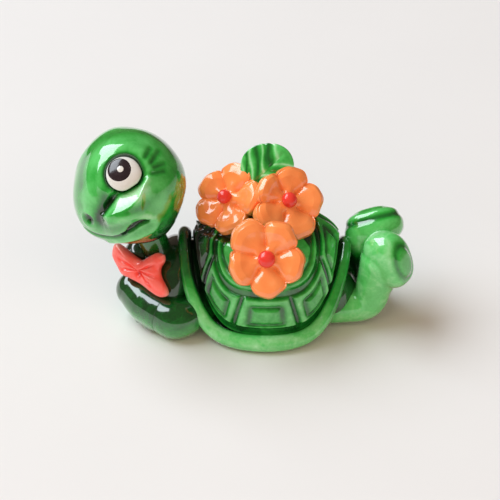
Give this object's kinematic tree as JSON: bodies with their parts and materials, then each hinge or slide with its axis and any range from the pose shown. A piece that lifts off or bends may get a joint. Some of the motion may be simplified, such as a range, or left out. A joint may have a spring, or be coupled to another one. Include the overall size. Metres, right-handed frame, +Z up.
{
  "type": "toy turtle figure",
  "caption": "Small glossy toy turtle lying on its belly with folded arms, crossed feet, a bow tie, and flowers and a leaf on its shell; the head turns on a neck pin.",
  "frame": {"origin": "middle of the flat underside of the belly, under the middle of the shell", "axes": "+Z up from the table; the figure looks towards -X, so its left side is towards -Y and its feet towards +X"},
  "size_m": [0.0442, 0.0222, 0.0276],
  "materials": {
    "green_gloss": "glossy green glaze, dark in the recesses",
    "leaf_green": "glossy veined green",
    "coral_paint": "semi-gloss coral red paint",
    "orange_paint": "semi-gloss orange paint",
    "red_paint": "glossy red paint",
    "eye_white": "glossy white",
    "pupil_black": "glossy black"
  },
  "bodies": {
    "torso": {"body_core": "green_gloss", "shell_dome": "green_gloss", "shell_rim": "green_gloss", "arm_left": "green_gloss", "arm_right": "green_gloss", "leg_left": "green_gloss", "leg_right": "green_gloss", "bow_tie": "coral_paint", "flower_front": "orange_paint", "flower_left": "orange_paint", "flower_right": "orange_paint", "centre_front": "red_paint", "centre_left": "red_paint", "centre_right": "red_paint", "leaf": "leaf_green"},
    "head": {"head": "green_gloss", "neck_pin": "green_gloss", "eye_left": "eye_white", "eye_right": "eye_white", "pupil_left": "pupil_black", "pupil_right": "pupil_black"}
  },
  "joints": [
    {"name": "head_turn", "type": "hinge", "parent": "torso", "child": "head", "pos_m": [-0.01433, -0.00054, 0.00974], "axis": [-0.2922, -0.03, 0.9559], "range_deg": [-78, 42]}
  ]
}
